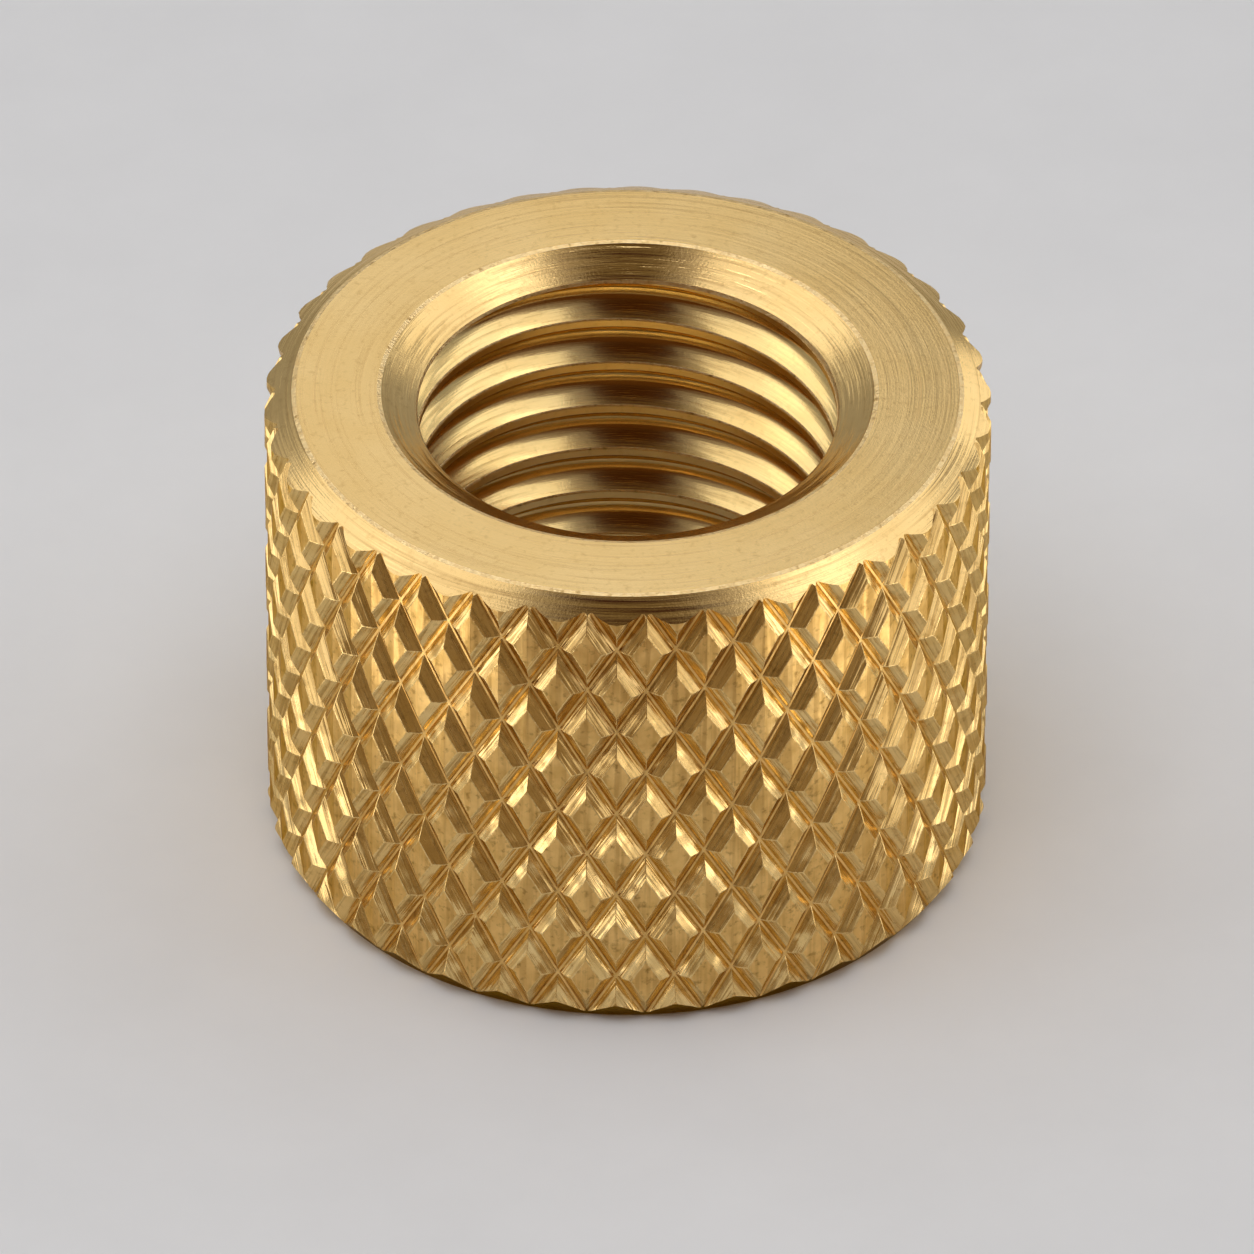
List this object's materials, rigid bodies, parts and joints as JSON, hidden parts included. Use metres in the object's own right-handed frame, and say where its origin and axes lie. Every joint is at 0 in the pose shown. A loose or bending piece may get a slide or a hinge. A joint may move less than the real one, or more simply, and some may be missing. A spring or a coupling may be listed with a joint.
{
  "type": "knurled nut",
  "caption": "Short round brass nut with diamond knurling all round, chamfered end faces and a countersunk threaded hole through its axis, tightened by hand.",
  "frame": {"origin": "centre of the lower end face, on the thread's axis", "axes": "+Z along the thread's axis, from the lower face to the upper one; +X through a knurl tooth"},
  "size_m": [0.017, 0.017, 0.0122],
  "materials": {
    "brass": "satin, as turned and knurled"
  },
  "bodies": {
    "root": {"knurled_nut": "brass"}
  },
  "joints": []
}
